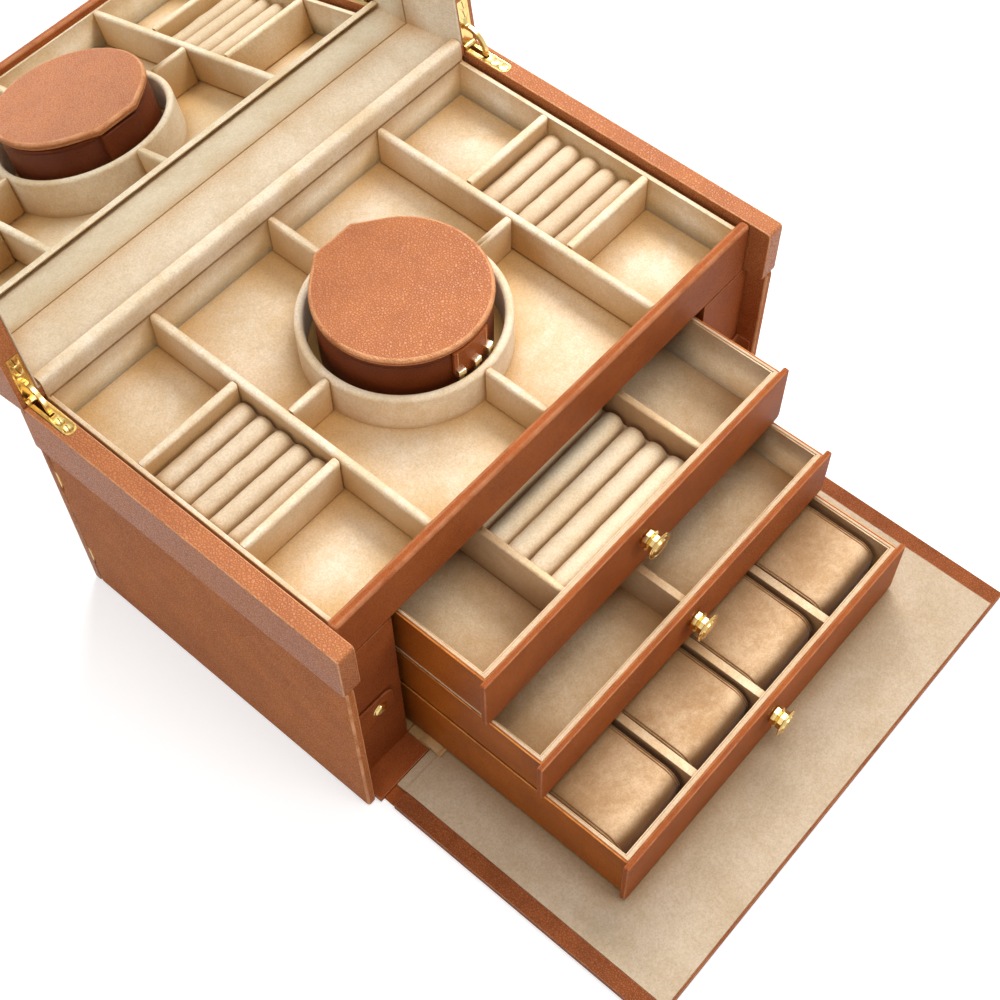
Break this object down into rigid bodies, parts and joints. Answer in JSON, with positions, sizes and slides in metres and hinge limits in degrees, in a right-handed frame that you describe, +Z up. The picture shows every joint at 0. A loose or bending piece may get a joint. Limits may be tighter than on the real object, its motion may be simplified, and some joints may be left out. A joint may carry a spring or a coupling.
{
  "type": "leather jewellery case",
  "caption": "Leather-covered jewellery case: mirrored lift-up lid, divided top tray with a round travel case, drawers behind a fall-front, and necklace doors at the sides.",
  "frame": {"origin": "middle of the underside, where the case stands, midway between the collars' fronts and the rear face", "axes": "+X to the right of someone facing the drawers, -Y towards that person, +Z up"},
  "size_m": [0.375, 0.5257, 0.4282],
  "materials": {
    "leather": "pebbled leather, satin",
    "inner_leather": "plain leather, dull",
    "polished_leather": "smooth glazed leather",
    "suede": "soft suede, matt",
    "felt": "felt, matt",
    "brass": "polished brass",
    "mirror": "silvered glass with a bevelled edge"
  },
  "bodies": {
    "case": {"felt_pad": "felt", "base_board": "leather", "ledge_lining": "suede", "cabinet_walls": "inner_leather", "back_panel": "leather", "fascia_strips": "leather", "front_rail": "leather", "collar_left": "leather", "collar_right": "leather", "top_deck": "inner_leather", "drawer_runners": "suede", "necklace_hooks": "brass", "door_hinges": "brass", "door_pins": "brass", "hinge_plates": "brass", "hinge_pins": "brass", "plate_screws": "brass", "tray_shell": "suede", "long_dividers": "suede", "cross_dividers": "suede", "ring_well": "suede", "tray_rolls": "suede"},
    "lid": {"lid_board": "leather", "lid_frame": "leather", "lid_lining": "suede", "mirror": "mirror", "lid_arms": "brass", "leaf_screws": "brass"},
    "fall_front": {"fall_front_panel": "leather", "fall_front_lining": "suede"},
    "left_door": {"side_door_left": "leather", "side_lining_left": "suede", "door_tab_left": "leather", "tab_stud_left": "brass"},
    "right_door": {"side_door_right": "leather", "side_lining_right": "suede", "door_tab_right": "leather", "tab_stud_right": "brass"},
    "upper_drawer": {"upper_box": "polished_leather", "upper_front": "leather", "upper_lining": "suede", "upper_dividers": "suede", "upper_knob": "brass", "drawer_rolls": "suede"},
    "middle_drawer": {"middle_box": "polished_leather", "middle_front": "leather", "middle_lining": "suede", "middle_divider": "suede", "middle_knob": "brass"},
    "lower_drawer": {"lower_box": "polished_leather", "lower_front": "leather", "lower_lining": "suede", "lower_dividers": "suede", "lower_knob": "brass", "watch_cushions": "suede"},
    "travel_case": {"travel_base": "leather", "travel_lining": "suede"},
    "travel_cover": {"travel_lid": "leather", "travel_tab": "leather", "travel_clasp": "brass"}
  },
  "joints": [
    {"name": "lid_hinge", "type": "hinge", "parent": "case", "child": "lid", "pos_m": [0, 0.117, 0.1925], "axis": [-1, 0, 0], "range_deg": [-98, 0]},
    {"name": "fall_front_hinge", "type": "hinge", "parent": "case", "child": "fall_front", "pos_m": [0, -0.1249, 0.00285], "axis": [-1, 0, 0], "range_deg": [-90, 0]},
    {"name": "right_door_hinge", "type": "hinge", "parent": "case", "child": "right_door", "pos_m": [0.183, 0.1115, 0.076], "axis": [0, 0, 1], "range_deg": [0, 90]},
    {"name": "left_door_hinge", "type": "hinge", "parent": "case", "child": "left_door", "pos_m": [-0.183, 0.1115, 0.076], "axis": [0, 0, -1], "range_deg": [0, 90]},
    {"name": "upper_drawer_slide", "type": "slide", "parent": "case", "child": "upper_drawer", "axis": [0, -1, 0], "range_m": [-0.0636, 0.09]},
    {"name": "middle_drawer_slide", "type": "slide", "parent": "case", "child": "middle_drawer", "axis": [0, -1, 0], "range_m": [-0.103, 0.06]},
    {"name": "lower_drawer_slide", "type": "slide", "parent": "case", "child": "lower_drawer", "axis": [0, -1, 0], "range_m": [-0.165, 0.01]},
    {"name": "travel_case_lift", "type": "slide", "parent": "case", "child": "travel_case", "axis": [0, 0, 1], "range_m": [0, 0.06]},
    {"name": "travel_cover_hinge", "type": "hinge", "parent": "travel_case", "child": "travel_cover", "pos_m": [0, 0.0618, 0.2023], "axis": [-1, 0, 0], "range_deg": [0, 110]}
  ]
}
